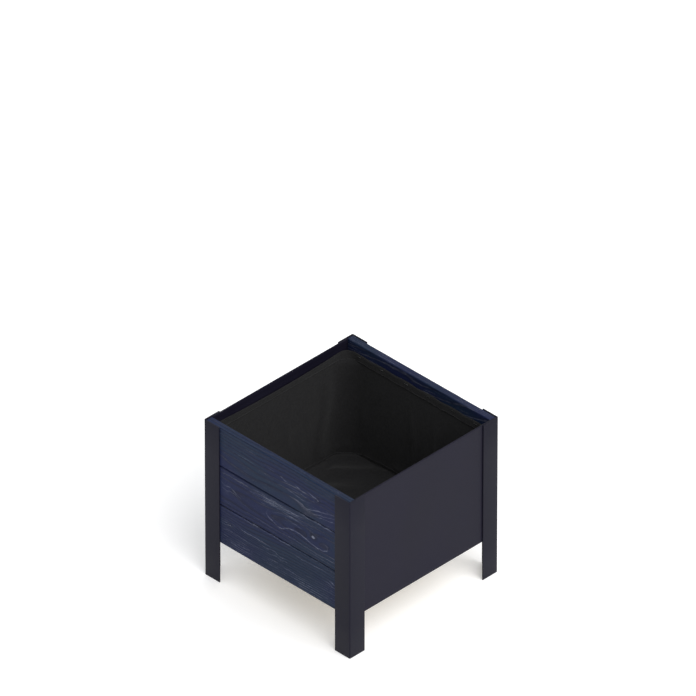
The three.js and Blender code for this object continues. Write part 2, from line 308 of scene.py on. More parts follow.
def zinc_plate(name):
    """Bright zinc, clouded where it has been handled."""
    s = Shade(name)
    cloud = s.noise((160, 160, 160), 4)
    tint = s.blend(s.between(cloud, 0.3, 0.7), (0.42, 0.43, 0.44), (0.6, 0.61, 0.6))
    rough = s.between(cloud, 0.3, 0.7, 0.28, 0.46)
    scuff = s.bump(s.noise((900, 900, 900), 2), 0.01)
    return s.finish(Base_Color=tint, Metallic=1.0, Roughness=rough, Normal=scuff)


def sewing_thread(name):
    """Black polyester thread."""
    s = Shade(name)
    ply = s.noise((1200, 1200, 1200), 2)
    tint = s.blend(ply, (0.02, 0.02, 0.022), (0.06, 0.06, 0.065))
    return s.finish(Base_Color=tint, Roughness=0.6)


def floor_paint(name):
    """White paint, clear from underneath so that the planter's foot can be looked at."""
    s = Shade(name)
    cloud = s.noise((1.5, 1.5, 1.5), 4)
    tint = s.blend(cloud, (0.90, 0.90, 0.90), (0.92, 0.92, 0.92))
    behind = s.add("ShaderNodeNewGeometry").outputs["Backfacing"]
    return s.finish(
        Base_Color=tint, Roughness=0.9, Specular_IOR_Level=0.1,
        Alpha=s.maths("SUBTRACT", 1.0, behind), Emission_Color=(1, 1, 1), Emission_Strength=0.26)


# ---- outlines and lofts
def unit(vectors):
    return vectors / np.linalg.norm(vectors, axis=-1, keepdims=True)


def rounded(corners, arc_steps=4):
    """The points of a closed outline from (x, y, radius) corners, anticlockwise."""
    points = []
    for i, (x, y, radius) in enumerate(corners):
        corner = np.array((x, y), float)
        if radius <= 0:
            points.append(corner)
            continue
        before = unit(np.array(corners[i - 1][:2]) - corner)
        after = unit(np.array(corners[(i + 1) % len(corners)][:2]) - corner)
        half = math.acos(np.clip(before @ after, -1, 1)) / 2
        centre = corner + unit(before + after) * radius / math.sin(half)
        first = corner + before * radius / math.tan(half) - centre
        last = corner + after * radius / math.tan(half) - centre
        start = math.atan2(first[1], first[0])
        turn = (math.atan2(last[1], last[0]) - start + math.pi) % TAU - math.pi
        for k in range(arc_steps + 1):
            a = start + turn * k / arc_steps
            points.append(centre + radius * np.array((math.cos(a), math.sin(a))))
    return np.array(points)


def refined(points, step):
    """The outline with every edge cut to step(middle of the edge) or shorter."""
    out = []
    for p, q in zip(points, np.roll(points, -1, axis=0)):
        pieces = max(1, math.ceil(np.linalg.norm(q - p) / step((p + q) / 2)))
        out += [p + (q - p) * k / pieces for k in range(pieces)]
    return np.array(out)


def outward(points):
    """Unit normals of an anticlockwise outline, at its points. Heights are passed over."""
    along = np.roll(points, -1, axis=0) - np.roll(points, 1, axis=0)
    return unit(np.stack((along[:, 1], -along[:, 0]), axis=1))


def stations(start, end, step, edge=0.3):
    """(place, inset) pairs along a bar, with both ends rounded by edge."""
    round_end = [(0.0, edge), (0.3 * edge, 0.3 * edge), (edge, 0.0)]
    count = max(2, math.ceil((end - start) / step))
    body = np.linspace(start + edge, end - edge, count + 1)[1:-1]
    first = [(start + d, inset) for d, inset in round_end]
    last = [(end - d, inset) for d, inset in reversed(round_end)]
    return first + [(x, 0.0) for x in body] + last


def band(low, high):
    """Faces that join two closed rows of points, given as their numbers."""
    return np.stack((low, np.roll(low, -1), np.roll(high, -1), high), axis=1).tolist()


def tube(rings, count, closed=False):
    """Faces of a solid made of rings of count points. closed joins the last ring to the first."""
    at = np.arange(rings * count).reshape(rings, count)
    faces = []
    for i in range(rings - (not closed)):
        faces += band(at[i], at[(i + 1) % rings])
    if not closed:
        faces += [at[0, ::-1].tolist(), at[-1].tolist()]
    return faces


def bar(points, places, axes):
    """Verts and faces of a solid: the outline swept through (place, inset) pairs. axes gives the
    directions of the outline's x, its y and the sweep, and x cross y is the sweep's way."""
    ax, ay, az = (np.array(a, float) for a in axes)
    normals = outward(points)
    verts = []
    for place, inset in places:
        flat = points - normals * inset
        verts.append(flat[:, :1] * ax + flat[:, 1:] * ay + place * az)
    return np.concatenate(verts), tube(len(places), len(points))


def lathe(rings, start, direction, closed=False, around=48):
    """Verts and faces of a turned solid. rings are (radius, height) pairs, and each value is a
    number or one per step round the axis."""
    axis = np.array(direction, float)
    side = np.roll(axis, 1)
    other = np.cross(axis, side)
    theta = np.arange(around) * TAU / around
    spoke = np.cos(theta)[:, None] * side + np.sin(theta)[:, None] * other
    verts = []
    for radius, height in rings:
        radius, height = (np.broadcast_to(value, around)[:, None] for value in (radius, height))
        verts.append(np.array(start, float) + spoke * radius + axis * height)
    return np.concatenate(verts), tube(len(rings), around, closed)


def drum(centre, axis, radius, half, sides=24):
    """Verts and faces of a cylinder about centre, along axis 0, 1 or 2."""
    turn = np.arange(sides) * TAU / sides
    circle = radius * np.stack((np.cos(turn), np.sin(turn)), axis=1)
    axes = np.roll(np.eye(3), -axis - 1, axis=0)
    verts, faces = bar(circle, [(-half, 0.0), (half, 0.0)], axes)
    return verts + centre, faces


def block(corner, opposite):
    """Verts and faces of a box between two opposite corners."""
    low, high = np.minimum(corner, opposite), np.maximum(corner, opposite)
    square = np.array([low[:2], (high[0], low[1]), high[:2], (low[0], high[1])])
    return bar(square, [(low[2], 0.0), (high[2], 0.0)], np.eye(3))


def merged(meshes):
    """One (verts, faces) pair from many."""
    verts, faces, base = [], [], 0
    for more_verts, more_faces in meshes:
        verts.append(more_verts)
        faces += [[base + i for i in face] for face in more_faces]
        base += len(more_verts)
    return np.concatenate(verts), faces


# ---- pieces
def mesh_object(name, verts, faces, material, sharp=35):
    """An object made of a mesh in millimetres, smooth but for edges over sharp degrees."""
    mesh = bpy.data.meshes.new(name)
    mesh.from_pydata((np.asarray(verts) * MM).tolist(), [], faces)
    mesh.validate()
    mesh.materials.append(material)
    mesh.shade_smooth()
    mesh.set_sharp_from_angle(angle=math.radians(sharp))
    made = bpy.data.objects.new(name, mesh)
    bpy.context.collection.objects.link(made)
    return made


def settle(piece, node=None):
    """Makes a piece ride on the planter and stand for a CAD node."""
    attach(piece, BODY)
    if node:
        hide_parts(node)
        piece.name = f"{node}_visual"
    return piece


def applied(piece):
    """Applies the modifiers on a piece."""
    graph = bpy.context.evaluated_depsgraph_get()
    mesh = bpy.data.meshes.new_from_object(piece.evaluated_get(graph), depsgraph=graph)
    piece.modifiers.clear()
    old = piece.data
    piece.data = mesh
    bpy.data.meshes.remove(old)


def drill(piece, cutters):
    """Cuts closed meshes, given as (verts, faces), out of a piece."""
    tool = mesh_object("cutter", *merged(cutters), piece.data.materials[0])
    cut = piece.modifiers.new("holes", "BOOLEAN")
    cut.operation = "DIFFERENCE"
    cut.solver = "MANIFOLD"
    cut.object = tool
    applied(piece)
    bpy.data.objects.remove(tool)


def vertices_mm(piece):
    flat = np.empty(3 * len(piece.data.vertices), np.float32)
    piece.data.vertices.foreach_get("co", flat)
    return flat.reshape(-1, 3).astype(float) / MM


def set_vertices(piece, verts):
    piece.data.vertices.foreach_set("co", (verts * MM).astype(np.float32).ravel())
    piece.data.update()


def write_attribute(piece, name, values):
    made = piece.data.attributes.new(name, "FLOAT", "POINT")
    made.data.foreach_set("value", np.asarray(values, np.float32))


# ---- wood grain
RING_SWAYS = ((520, 190, 3.0), (210, 80, 0.9), (90, 38, 0.3), (34, 17, 0.08))
FAR_FROM_KNOTS = 60.0  # the distance written where no knot is nearer
SHOW_SKIN = 3.5  # how deep into the plank the strokes are still seen
RELIEF = 0.22  # how deep the brush cuts the early growth


def smooth(at, places, values):
    """Cubic interpolation between values, which passes through each of them."""
    slope = np.gradient(values, places)
    i = np.clip(np.searchsorted(places, at, side="right") - 1, 0, len(places) - 2)
    gap = places[i + 1] - places[i]
    t = (at - places[i]) / gap
    return (
        (2 * t ** 3 - 3 * t ** 2 + 1) * values[i] + (t ** 3 - 2 * t ** 2 + t) * gap * slope[i]
        + (3 * t ** 2 - 2 * t ** 3) * values[i + 1] + (t ** 3 - t ** 2) * gap * slope[i + 1])


def bell(u, v, middle_u, middle_v, length, width):
    """1 at the middle of a long spot, falling to 0 round it."""
    return np.exp(-(((u - middle_u) / length) ** 2) - ((v - middle_v) / width) ** 2)


@dataclass
class Log:
    """Where a plank was cut from its log. u runs along the plank from its middle, v across its
    face from its lower edge, and w into it from the show face."""

    seed: int
    pith: tuple  # the pith's v, and its depth behind the show face
    slope: tuple  # how fast the pith drifts along v and w
    knots: tuple = ()  # (u, v, radius)
    swells: tuple = ()  # (u, v, length, width, height), where rings bulge and close into loops
    spacing: float = 5.4  # the width of a ring
    pale: float = 0.45  # how far brushing has bared the late growth all over
    marks: tuple = ()  # (u, v, length, width, strength), where it has bared more
    strokes_and_highlights: tuple = ()  # (width, strength, points) of single bared lines of the show face, and of painted highlights along two chamfers

    def fields(self, u, v, w):
        """Rings crossed since the pith, and the distance from the nearest knot's edge."""
        rng = np.random.default_rng(self.seed)
        rings = np.hypot(
            v - self.pith[0] - self.slope[0] * u, w + self.pith[1] + self.slope[1] * u)
        for along, across, size in RING_SWAYS:  # wave lengths, and how far rings sway
            p = rng.uniform(0, TAU, 4)
            sway = np.sin(TAU * v / across + p[1]) + 0.5 * np.sin(TAU * w / across + p[2])
            rings = rings + size * np.sin(TAU * u / along + p[0] + 1.1 * sway)
        for *spot, height in self.swells:
            rings = rings - height * bell(u, v, *spot)
        nearest = np.full_like(u, FAR_FROM_KNOTS)
        for knot_u, knot_v, radius in self.knots:
            lean = 0.12 * (w - 10)
            away = np.hypot((u - knot_u) * 0.72, v - knot_v - lean)
            rings = rings + 3.2 * radius ** 0.5 * np.exp(-((away / (2.6 * radius)) ** 2))
            nearest = np.minimum(nearest, away - radius)
        return rings / self.spacing, nearest

    def paleness(self, u, v):
        pale = np.full_like(u, self.pale)
        for *spot, strength in self.marks:
            pale = np.maximum(pale, strength * bell(u, v, *spot))
        return pale

    def bared(self, u, v, w):
        """Strength of the bared lines, which waver and fade as a brush leaves them, and of the
            painted highlights along two chamfers.
        """
        phase = np.random.default_rng(self.seed).uniform(0, TAU, 3)
        wobble = 0.6 * np.sin(u / 8 + phase[0] + v / 9) + 0.45 * np.sin(u / 3.1 + phase[1] + v / 4)
        best = np.zeros_like(u)
        for width, strength, points in self.strokes_and_highlights:
            points = np.array(points, float)
            number = np.arange(len(points))
            fine = np.linspace(0, number[-1], 8 * number[-1] + 1)
            path = np.stack([smooth(fine, number, points[:, k]) for k in (0, 1)], axis=1)
            fade = np.clip(4 * np.minimum(fine, number[-1] - fine) / number[-1], 0.15, 1)
            fade = fade * (0.72 + 0.28 * np.sin(5.3 * fine + phase[2] + strength * 40))
            for p, q, share in zip(path, path[1:], fade):
                run = q - p
                t = np.clip(((u - p[0]) * run[0] + (v - p[1]) * run[1]) / (run @ run), 0, 1)
                gap = np.hypot(u - p[0] - t * run[0], v + wobble - p[1] - t * run[1])
                best = np.maximum(best, strength * share * np.exp(-((gap / width) ** 2)))
        return best * (w < SHOW_SKIN)


def brushed(turns, nearest, deep):
    """How far the brush has cut below the skin: deep in the soft early growth."""
    hard = np.interp(np.mod(turns, 1), (0, 0.15, 0.5, 0.88, 1), (0.2, 0, 0.25, 1, 0.2))
    hard = np.maximum(hard, np.interp(nearest, (-1, 2), (1, 0)))
    return deep * (1 - hard)


def grow_grain(piece, log, to_plank, deep=RELIEF, joint_stain_and_shade=None):
    """Adds the grain's attributes to a plank, and the relief of the grain to its surface.
    joint_stain_and_shade gives the share of a darker colour at (u, v, w): stain that has
    collected in the joints, with painted shade there."""
    verts = vertices_mm(piece)
    u, v, w = to_plank(verts)
    turns, nearest = log.fields(u, v, w)
    dark = 0.5 * np.interp(nearest, (0, 2, 7), (1, 1, 0)) * np.minimum(1, log.pale + 0.5)
    if joint_stain_and_shade:
        dark = np.maximum(dark, joint_stain_and_shade(u, v, w))
    write_attribute(piece, "turns", turns)
    write_attribute(piece, "knot", nearest)
    write_attribute(piece, "pale", log.paleness(u, v))
    write_attribute(piece, "stroke_and_highlight", log.bared(u, v, w))
    write_attribute(piece, "dark", dark)
    flat = np.empty(3 * len(verts), np.float32)
    piece.data.vertex_normals.foreach_get("vector", flat)
    set_vertices(piece, verts - flat.reshape(-1, 3) * brushed(turns, nearest, deep)[:, None])


# ---- the board sides
V_JOINT, ARRIS = 2.5, 2.0
TONGUE_WIDTH, TONGUE_HEIGHT = 6.0, 6.5
GROOVE_WIDTH, GROOVE_DEPTH = 6.8, 7.2
STUD_HOLE = 3.5
STUD_INSET = 25.0  # from the outside of the steel to a board's stud
JOINT_GAP = 0.3
BOARD_STEP = 2.4  # mesh size along a board
SHOWN_STEP, HIDDEN_STEP = 0.95, 4.0  # mesh size across its faces
BOARD_DRILL = 15.0  # half the length of a drill through a board
BOARD_LOGS = {
    "front_bottom": Log(
        11, (150, 60), (-0.01, 0.03), knots=((-160, 68, 2.6),), swells=((-95, 70, 60, 8, 5),),
        spacing=6.2, pale=0.1,
        marks=((-120, 20, 130, 17, 1.0), (60, 17, 150, 15, 0.9), (190, 40, 60, 40, 0.5),
               (-160, 68, 24, 9, 1.0)),
        strokes_and_highlights=(
            (1.2, 0.8, ((-139, 75), (-100, 73), (-55, 74), (-22, 71))),
            (1.0, 0.6, ((-66, 67), (-40, 62), (-16, 67), (8, 60), (30, 62))),
            (0.9, 0.5, ((-44, 56), (-26, 51), (-6, 56), (10, 52), (24, 55), (38, 52))),
            (1.0, 0.5, ((-194, 47), (-150, 50), (-100, 47), (-50, 49))),
            (0.9, 0.5, ((-60, 35), (0, 38), (60, 35), (120, 38))),
            (1.2, 0.9, ((166, 75), (180, 72), (192, 68))),
            (1.0, 0.6, ((150, 66), (170, 65), (190, 58))),
            (0.9, 0.5, ((40, 92), (90, 90), (140, 93), (192, 90))),
            # painted highlight along the board's upper chamfer, below the joint with the board
            # above
            (1.1, 0.7, ((-194, 109), (-120, 108.5), (-40, 109), (40, 108.5), (192, 109))))),
    "front_middle": Log(
        12, (56, 52), (0.01, -0.02), knots=((118, 63, 5.0),), swells=((62, 55, 90, 15, 3.5),),
        spacing=6.6, pale=0.14,
        marks=((-5, 92, 120, 9, 0.8), (-170, 60, 50, 22, 0.7), (118, 63, 18, 12, 1.0),
               (150, 25, 70, 18, 0.5)),
        strokes_and_highlights=(
            (1.6, 1.0, ((-75, 94), (-27, 97), (40, 96), (100, 103))),
            (1.1, 0.8, ((-95, 88), (-30, 91), (30, 90), (84, 95))),
            (0.8, 0.6, ((-90, 92), (-45, 95), (20, 94), (70, 99))),
            (0.9, 0.55, ((-100, 99), (-50, 101), (0, 100), (60, 103))),
            (1.0, 0.7, ((-66, 83), (-10, 86), (50, 83), (90, 86))),
            (1.0, 0.8, ((-194, 97), (-140, 99), (-82, 98))),
            # painted highlight along the board's upper chamfer, below the joint with the board
            # above
            (1.3, 1.0, ((40, 109), (96, 108), (130, 109), (160, 109), (194, 108))),
            (1.2, 1.0, ((-34, 62), (-38, 54), (-27, 44), (6, 33), (29, 43), (62, 50),
                        (106, 42), (140, 37), (163, 45), (164, 56), (150, 65))),
            (1.0, 0.45, ((-30, 62), (20, 78), (84, 80), (140, 67))),
            (0.9, 0.5, ((20, 70), (60, 68), (92, 64))),
            (1.1, 0.6, ((-194, 71), (-175, 63), (-160, 67), (-140, 58), (-122, 50))),
            (1.0, 0.5, ((-194, 57), (-172, 51), (-152, 56), (-120, 45))),
            (0.9, 0.4, ((-110, 26), (-30, 20), (60, 23), (130, 19), (194, 24))))),
    "front_top": Log(
        16, (8, 88), (0.03, 0.03), knots=((134, 65, 2.8),), swells=((165, 50, 50, 9, 4),),
        spacing=7.0, pale=0.1,
        marks=((120, 40, 80, 20, 0.8), (134, 65, 20, 8, 1.0), (60, 66, 50, 7, 0.7)),
        strokes_and_highlights=(
            (1.1, 0.9, ((8, 73), (18, 70), (28, 66))),
            (1.1, 0.9, ((56, 71), (75, 67), (94, 63))),
            (1.2, 1.0, ((97, 72), (115, 69), (131, 66))),
            (1.1, 0.6, ((-8, 44), (20, 47), (51, 45), (80, 40), (112, 45))),
            (1.0, 0.5, ((38, 58), (75, 55), (108, 54))),
            (1.2, 0.9, ((78, 16), (110, 26), (140, 35), (192, 48))),
            (1.0, 0.7, ((96, 13), (140, 24), (192, 38))),
            (1.0, 0.6, ((120, 13), (160, 21), (192, 26))),
            (0.9, 0.35, ((-190, 60), (-120, 64), (-60, 60))))),
    "rear_bottom": Log(
        21, (40, 40), (0.04, 0.03), knots=((95, 30, 4.5),), marks=((60, 40, 110, 26, 0.9),)),
    "rear_middle": Log(
        22, (62, 34), (-0.03, 0.06), knots=((-60, 78, 3.5), (170, 40, 2.4)),
        swells=((-20, 50, 80, 14, 8),), marks=((-40, 70, 90, 26, 1.0),)),
    "rear_top": Log(
        23, (120, 60), (0.02, -0.05), knots=((-140, 38, 3.6),), marks=((-90, 30, 120, 20, 0.9),)),
}


def board_outline(cover, thick, has_tongue, has_groove):
    """(w, v) points from the board's lower outer corner: bevels outside, tongue and groove."""
    soft, crisp, nose = 0.9, 0.5, 1.2  # edge radii
    groove_out, groove_in = (thick - GROOVE_WIDTH) / 2, (thick + GROOVE_WIDTH) / 2
    tongue_out, tongue_in = (thick - TONGUE_WIDTH) / 2, (thick + TONGUE_WIDTH) / 2
    if has_groove:
        low = [
            (V_JOINT, 0, crisp), (groove_out, 0, crisp), (groove_out, GROOVE_DEPTH, 0),
            (groove_in, GROOVE_DEPTH, 0), (groove_in, 0, crisp), (thick, 0, crisp)]
        last = (0, V_JOINT, soft)
    else:
        low = [(thick, 0, ARRIS)]
        last = (0, 0, ARRIS)
    if has_tongue:
        high = [
            (thick, cover, crisp), (tongue_in, cover, 0),
            (tongue_in, cover + TONGUE_HEIGHT, nose), (tongue_out, cover + TONGUE_HEIGHT, nose),
            (tongue_out, cover, 0), (V_JOINT, cover, crisp), (0, cover - V_JOINT, soft)]
    else:
        high = [(thick, cover, ARRIS), (0, cover, ARRIS)]

    def step(middle):
        shown = middle[0] < 4 or (not has_tongue and middle[1] > cover - 1)
        return SHOWN_STEP if shown else HIDDEN_STEP

    return refined(rounded(low + high + [last]), step)


def make_board(side, level, material):
    node = f"{side}_board_{LEVELS[level]}"
    low, high = box_mm(node)
    turn = SIDES[side]
    last = level == len(LEVELS) - 1
    cover = high[2] - low[2] - (0 if last else TONGUE_HEIGHT)
    outer = low[1] if turn > 0 else high[1]
    points = board_outline(cover, high[1] - low[1], not last, level > 0)
    axes = ((0, turn, 0), (0, 0, 1), (turn, 0, 0))
    verts, faces = bar(points, stations(low[0], high[0], BOARD_STEP), axes)
    made = mesh_object(node, verts + (0, outer, low[2]), faces, material, 40)
    stud_x = HALF_X - STUD_INSET
    depth = (low[1] + high[1]) / 2
    stud_z = low[2] + (cover + JOINT_GAP) / 2
    drill(made, [
        drum((sx * stud_x, depth, stud_z), 1, STUD_HOLE, BOARD_DRILL) for sx in (-1, 1)])

    def to_plank(p):
        return turn * p[:, 0], p[:, 2] - low[2], turn * (p[:, 1] - outer)

    def joint_stain_and_shade(u, v, w):
        # darker deep in the V-joints: stain collected there, and painted shade where the joint
        # would be in shadow
        in_joint = ((v < V_JOINT) & (level > 0)) | ((v > cover - V_JOINT) & (not last))
        return np.clip(w - 1.3, 0, 0.85) * in_joint

    grow_grain(made, BOARD_LOGS[f"{side}_{LEVELS[level]}"], to_plank, joint_stain_and_shade=joint_stain_and_shade)
    settle(made, node)


# ---- base slats
SLAT_ARRIS = 2.2
SLAT_RELIEF = 0.2
SLAT_STEP, SLAT_GIRTH_STEP = 4.0, 1.6  # mesh size along a slat and round it
SCREW_INSET = 11.3  # from a slat's end to its screw
PILOT_RADIUS, PILOT_DEPTH = 2.1, 5.0
SLAT_LOGS = [
    Log(31, (30, 60), (0.03, 0.02), knots=((80, 60, 5.0),)),
    Log(32, (52, 30), (-0.04, 0.05), knots=((-120, 25, 3.5), (150, 50, 4.0))),
    Log(33, (10, 80), (0.05, -0.03)),
    Log(34, (40, 45), (0.02, 0.06), knots=((20, 30, 6.0),)),
    Log(35, (75, 50), (-0.05, 0.02), knots=((-60, 55, 3.0),)),
]


def make_slat(number, material):
    node = f"base_slat_{number}"
    low, high = box_mm(node)
    wide, thick = high[1] - low[1], high[2] - low[2]
    corners = [(y, z, SLAT_ARRIS) for y, z in ((0, 0), (wide, 0), (wide, thick), (0, thick))]
    points = refined(rounded(corners), lambda middle: SLAT_GIRTH_STEP)
    axes = ((0, 1, 0), (0, 0, 1), (1, 0, 0))
    verts, faces = bar(points, stations(low[0], high[0], SLAT_STEP, 0.8), axes)
    made = mesh_object(node, verts + (0, low[1], low[2]), faces, material, 40)
    screw_x = high[0] - SCREW_INSET
    middle_y = (low[1] + high[1]) / 2
    drill(made, [
        drum((sx * screw_x, middle_y, low[2]), 2, PILOT_RADIUS, PILOT_DEPTH) for sx in (-1, 1)])

    def to_plank(p):
        return p[:, 0], p[:, 1] - low[1], high[2] - p[:, 2]

    grow_grain(made, SLAT_LOGS[number - 1], to_plank, SLAT_RELIEF)
    settle(made, node)


# ---- steel sides
SHEET, HEM_SLOT, HEM_DEPTH, FOLD = 1.5, 0.5, 12.0, 2.5
SHELF = 26.0
STUD_HEIGHTS = (200.0, 370.0)
STEEL_STUD_INSET = 42.3  # from the outside of the boards to a steel side's stud
SLAT_SCREW_FROM_WEB = 13.0
SLAT_SCREW_HOLE = 2.3
SHEET_STEP = 12.0
SHEET_DRILL = 4.0  # half the length of a drill through the sheet
HEM_NOTCH = (1.53, 6.0)  # depths between which the hem makes room for the boards' ends
WAVINESS = 0.28  # how far flat sheet bows in and out


def panel_outline(foot, head):
    """(depth, height) points of the sheet's section: shelf, web and folded-down hem."""
    inner = FOLD - SHEET
    back = 2 * SHEET + HEM_SLOT
    nose = back / 2 - 0.01
    slot = HEM_SLOT / 2 - 0.01
    edge = 0.3
    return refined(rounded([
        (0, foot, FOLD), (SHELF, foot, edge), (SHELF, foot + SHEET, edge),
        (SHEET, foot + SHEET, inner), (SHEET, head - SHEET, slot),
        (SHEET + HEM_SLOT, head - SHEET, slot), (SHEET + HEM_SLOT, head - HEM_DEPTH, edge),
        (back, head - HEM_DEPTH, edge), (back, head, nose), (0, head, nose),
    ], 8), lambda middle: SHEET_STEP)


def panel_cutters(outer, turn, low, high):
    """Stud holes in the web, screw holes in the shelf and a notch at each end of the hem."""
    web = outer - turn * SHEET / 2
    cutters = [
        drum((web, sy * (HALF_Y - STEEL_STUD_INSET), z), 0, STUD_HOLE, SHEET_DRILL)
        for z in STUD_HEIGHTS for sy in (-1, 1)]
    for number in SLATS:
        slat = sum(box_mm(f"base_slat_{number}")) / 2
        screw = (outer - turn * (SHEET + SLAT_SCREW_FROM_WEB), slat[1], low[2])
        cutters.append(drum(screw, 2, SLAT_SCREW_HOLE, SHEET_DRILL))
    board_inner = box_mm("rear_board_top")[0][1]
    near, far = (outer - turn * depth for depth in HEM_NOTCH)
    for sy in (-1, 1):
        cutters.append(block(
            (near, sy * (board_inner - 1), high[2] - HEM_DEPTH - 1),
            (far, sy * (high[1] + 1), high[2] + 1)))
    return cutters


def make_panel(side, material):
    node = f"{side}_steel_panel"
    low, high = box_mm(node)
    turn = STEEL_SIDES[side]
    outer = high[0] if turn > 0 else low[0]
    axes = ((-turn, 0, 0), (0, 0, 1), (0, turn, 0))
    points = panel_outline(low[2], high[2])
    verts, faces = bar(points, stations(low[1], high[1], SHEET_STEP, 0.2), axes)
    made = mesh_object(node, verts + (outer, 0, 0), faces, material)
    drill(made, panel_cutters(outer, turn, low, high))
    verts = vertices_mm(made)
    x, y, z = verts.T
    bow = np.sin(y / 61 + turn) * np.sin(z / 47 + 0.6 * turn)
    bow = bow * np.clip(1 - np.abs(y) / 195, 0, 1) ** 0.5  # flat under the legs' flanges
    bow = bow * np.clip((z - low[2] - 8) / 60, 0, 1) * np.clip((high[2] - z - 16) / 60, 0, 1)
    verts[:, 0] += turn * WAVINESS * bow * ((outer - x) * turn < SHEET + 0.1)
    set_vertices(made, verts)
    settle(made, node)


# ---- corner legs and fasteners
LEG_STEEL, LEG_WIDTH, LEG_BEND = 3.0, 50.0, 3.5
LEG_EDGE, LEG_INNER_BEND = 0.45, 0.5
BOLT_RADIUS, THREAD_PITCH, THREAD_DEPTH = 3.0, 1.0, 0.55
COLLAR, COLLAR_HEIGHT = 0.7, 1.2  # the weld round a stud's foot
WOOD_STUD, STEEL_STUD = 28.0, 11.0  # the studs' lengths
WASHER_RADIUS, WASHER_BORE, WASHER_THICK, WASHER_EDGE = 9.0, 3.3, 1.6, 0.2  # bores are radii
NUT_FLATS, NUT_BORE, NUT_HEIGHT = 10.0, 3.05, 5.0
AROUND_NUT = 48
NUT_FLANGE = ((6.75, 0), (7.0, 0.25), (7.0, 0.9), (6.8, 1.15))
SLAT_SCREW = (
    (1.7, 0), (2.7, 0.18), (3.4, 0.7), (3.85, 1.4), (4.0, 2.0), (3.95, 2.32), (3.85, 2.4),
    (2.1, 2.4), (1.8, 2.7), (1.8, 13.0), (0.9, 15.4), (0.15, 16.4))
RECESS_ARMS = ((2.3, 0.5), (0.5, 2.3))
RECESS_DEPTH = 1.5


def make_leg(corner, material):
    node = f"{corner}_leg"
    sx, sy = CORNERS[corner]
    far_x, far_y = HALF_X - LEG_WIDTH, HALF_Y - LEG_WIDTH
    in_x, in_y = HALF_X - LEG_STEEL, HALF_Y - LEG_STEEL
    points = rounded([
        (far_x, HALF_Y, LEG_EDGE), (far_x, in_y, LEG_EDGE), (in_x, in_y, LEG_INNER_BEND),
        (in_x, far_y, LEG_EDGE), (HALF_X, far_y, LEG_EDGE), (HALF_X, HALF_Y, LEG_BEND)], 8)
    points = points * (sx, sy)
    if sx * sy < 0:
        points = points[::-1]
    low, high = box_mm(node)
    verts, faces = bar(points, stations(low[2], high[2], 90, 0.25), np.eye(3))
    settle(mesh_object(node, verts, faces, material), node)


def threaded_rod(start, way, length):
    """A rod with a real helical thread, standing on a small weld collar."""
    around = 24
    turn = np.arange(around) / around
    rings = []
    for z in np.arange(0, length + 1e-6, THREAD_PITCH / 5):
        crest = 1 - np.abs(np.mod(z / THREAD_PITCH - turn, 1) - 0.5) * 2
        radius = BOLT_RADIUS - THREAD_DEPTH * crest
        radius = np.minimum(radius, BOLT_RADIUS - max(0, z - length + 1.0) * 0.6)
        if z < COLLAR_HEIGHT:
            radius = np.maximum(radius, BOLT_RADIUS + COLLAR - COLLAR * z)
        rings.append((radius, z))
    return lathe(rings, start, way, around=around)


def make_studs(corner, material):
    """The corner's threaded studs, welded inside its two flanges."""
    sx, sy = CORNERS[corner]
    rods = []
    for level in LEVELS:
        low, high = box_mm(f"{corner}_washer_{level}")
        at = (sx * (HALF_X - STUD_INSET), sy * (HALF_Y - LEG_STEEL), (low[2] + high[2]) / 2)
        rods.append(threaded_rod(at, (0, -sy, 0), WOOD_STUD))
    for z in STUD_HEIGHTS:
        at = (sx * (HALF_X - LEG_STEEL), sy * (HALF_Y - STEEL_STUD_INSET), z)
        rods.append(threaded_rod(at, (-sx, 0, 0), STEEL_STUD))
    settle(mesh_object(f"{corner}_studs", *merged(rods), material, 60))


def turned_piece(node, rings, axis, way, material, closed=True):
    """A turned piece in the place of a CAD node, its foot at the box's end that way leaves."""
    low, high = box_mm(node)
    foot = (low + high) / 2
    foot[axis] = low[axis] if way > 0 else high[axis]
    verts, faces = lathe(rings, foot, np.eye(3)[axis] * way, closed)
    return settle(mesh_object(node, verts, faces, material, 30), node)


def bore_rings(radius, height, mouth):
    """The rings of a hole with both mouths chamfered, from its far end back to its foot."""
    wide = radius + mouth
    return [(wide, height), (radius, height - mouth), (radius, mouth), (wide, 0)]


def washer_rings():
    inner, top = WASHER_RADIUS - WASHER_EDGE, WASHER_THICK - WASHER_EDGE
    rim = [(inner, 0), (WASHER_RADIUS, WASHER_EDGE), (WASHER_RADIUS, top), (inner, WASHER_THICK)]
    return rim + bore_rings(WASHER_BORE, WASHER_THICK, 0.12)


def nut_rings(flanged):
    """A hexagon nut with chamfered corners. A flange nut has a round foot."""
    turn = np.arange(AROUND_NUT) * TAU / AROUND_NUT
    hexagon = NUT_FLATS / 2 / np.cos(np.mod(turn, TAU / 6) - TAU / 12)
    hexagon = np.minimum(hexagon, NUT_FLATS / 2 * 1.135)
    crown = NUT_FLATS * 0.475
    fall = (hexagon - crown) * 0.577
    if flanged:
        foot = [*NUT_FLANGE, (hexagon + 0.3, 1.6), (hexagon, 1.95)]
    else:
        foot = [(crown, 0), (hexagon, fall)]
    head = [(hexagon, NUT_HEIGHT - fall), (crown, NUT_HEIGHT)]
    return foot + head + bore_rings(NUT_BORE, NUT_HEIGHT, 0.5)


def make_nuts(corner, material):
    sx, sy = CORNERS[corner]
    for level in LEVELS:
        turned_piece(f"{corner}_washer_{level}", washer_rings(), 1, -sy, material)
        turned_piece(f"{corner}_nut_{level}", nut_rings(False), 1, -sy, material)
    for which in ("lower", "upper"):
        turned_piece(f"{corner}_flange_nut_{which}", nut_rings(True), 0, -sx, material)


